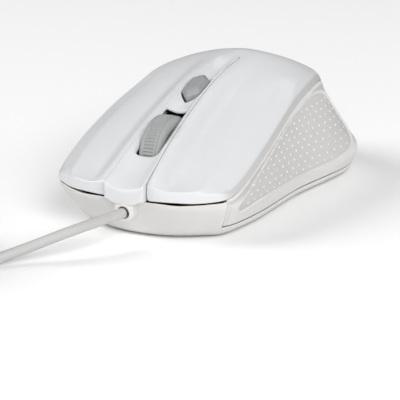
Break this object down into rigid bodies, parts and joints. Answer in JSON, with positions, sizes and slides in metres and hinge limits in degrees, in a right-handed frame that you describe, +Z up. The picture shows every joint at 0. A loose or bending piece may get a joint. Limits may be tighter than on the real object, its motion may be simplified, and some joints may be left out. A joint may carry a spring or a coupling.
{
  "type": "wired optical mouse",
  "caption": "Wired optical mouse with a ribbed scroll wheel, a small button behind it, integral finger keys and dotted side grips.",
  "frame": {"origin": "under the middle of the mouse body, on the surface it slides on, the cord left out", "axes": "+Z up, -Y towards the front where the cord leaves, +X towards the thumb side"},
  "size_m": [0.1067, 0.1712, 0.0405],
  "materials": {
    "cover_white": "fine satin texture",
    "base_white": "fine matt texture, slightly warm",
    "grip_white": "soft matt, covered in small raised dots",
    "cord_white": "smooth satin",
    "wheel_grey": "satin",
    "tread_grey": "matt, ribbed",
    "board_green": "solder mask",
    "black_plastic": "moulded",
    "clear_plastic": "clear acrylic",
    "red_plastic": "gloss",
    "steel": "plated",
    "glide_white": "slippery, matt"
  },
  "bodies": {
    "case": {"base_shell": "base_white", "palm_cover": "cover_white", "centre_strip": "cover_white", "thumb_side_panel": "base_white", "outer_side_panel": "base_white", "thumb_grip_pad": "grip_white", "outer_grip_pad": "grip_white", "encoder_body": "black_plastic", "circuit_board": "board_green", "left_switch_body": "black_plastic", "right_switch_body": "black_plastic", "wheel_switch_body": "black_plastic", "dpi_switch_body": "black_plastic", "optical_sensor": "black_plastic", "sensor_lens": "clear_plastic", "sensor_led": "red_plastic", "led_clip": "black_plastic", "cord_header": "cover_white", "capacitor": "black_plastic", "base_screw_left": "steel", "base_screw_right": "steel", "board_screw_left": "steel", "board_screw_right": "steel", "front_glide_foot": "glide_white", "rear_glide_foot": "glide_white", "cord_strain_relief": "cord_white", "cord": "cord_white", "cord_coil": "cord_white", "cord_tie": "black_plastic", "usb_overmould": "cord_white", "usb_shell": "steel", "usb_tongue": "cover_white"},
    "left_button": {"left_key": "cover_white"},
    "right_button": {"right_key": "cover_white"},
    "wheel_frame": {"wheel_carrier": "glide_white"},
    "wheel": {"wheel_hub": "wheel_grey", "wheel_tyre": "tread_grey", "wheel_axle": "steel", "encoder_rotor": "wheel_grey"},
    "rear_button": {"dpi_button": "wheel_grey"},
    "left_plunger": {"left_switch_plunger": "red_plastic"},
    "right_plunger": {"right_switch_plunger": "red_plastic"},
    "wheel_plunger": {"wheel_switch_plunger": "red_plastic"},
    "rear_plunger": {"dpi_switch_plunger": "red_plastic"}
  },
  "joints": [
    {"name": "left_key_press", "type": "hinge", "parent": "case", "child": "left_button", "pos_m": [0.0135, 0.008, 0.034], "axis": [1, 0, 0], "range_deg": [0, 0.45], "stiffness_Nm_per_rad": 3, "springref_deg": -0.23},
    {"name": "right_key_press", "type": "hinge", "parent": "case", "child": "right_button", "pos_m": [-0.0135, 0.008, 0.034], "axis": [1, 0, 0], "range_deg": [0, 0.45], "stiffness_Nm_per_rad": 3, "springref_deg": -0.23},
    {"name": "wheel_press", "type": "slide", "parent": "case", "child": "wheel_frame", "axis": [0, 0, -1], "range_m": [0, 0.0004], "stiffness_N_per_m": 900, "springref_m": -0.0003},
    {"name": "wheel_spin", "type": "hinge", "parent": "wheel_frame", "child": "wheel", "pos_m": [0, -0.0313, 0.0189], "axis": [1, 0, 0], "continuous": true},
    {"name": "dpi_press", "type": "slide", "parent": "case", "child": "rear_button", "axis": [0, 0, -1], "range_m": [0, 0.0004], "stiffness_N_per_m": 900, "springref_m": -0.0003},
    {"name": "left_plunger_slide", "type": "slide", "parent": "case", "child": "left_plunger", "axis": [0, 0, -1], "range_m": [0, 0.0004]},
    {"name": "right_plunger_slide", "type": "slide", "parent": "case", "child": "right_plunger", "axis": [0, 0, -1], "range_m": [0, 0.0004]},
    {"name": "wheel_plunger_slide", "type": "slide", "parent": "case", "child": "wheel_plunger", "axis": [0, 0, -1], "range_m": [0, 0.0004]},
    {"name": "dpi_plunger_slide", "type": "slide", "parent": "case", "child": "rear_plunger", "axis": [0, 0, -1], "range_m": [0, 0.0004]}
  ],
  "couplings": [
    {"joint": "left_plunger_slide", "follows": "left_key_press", "m_per_rad": 0.046},
    {"joint": "right_plunger_slide", "follows": "right_key_press", "m_per_rad": 0.046},
    {"joint": "wheel_plunger_slide", "follows": "wheel_press", "ratio": 1},
    {"joint": "dpi_plunger_slide", "follows": "dpi_press", "ratio": 1}
  ]
}
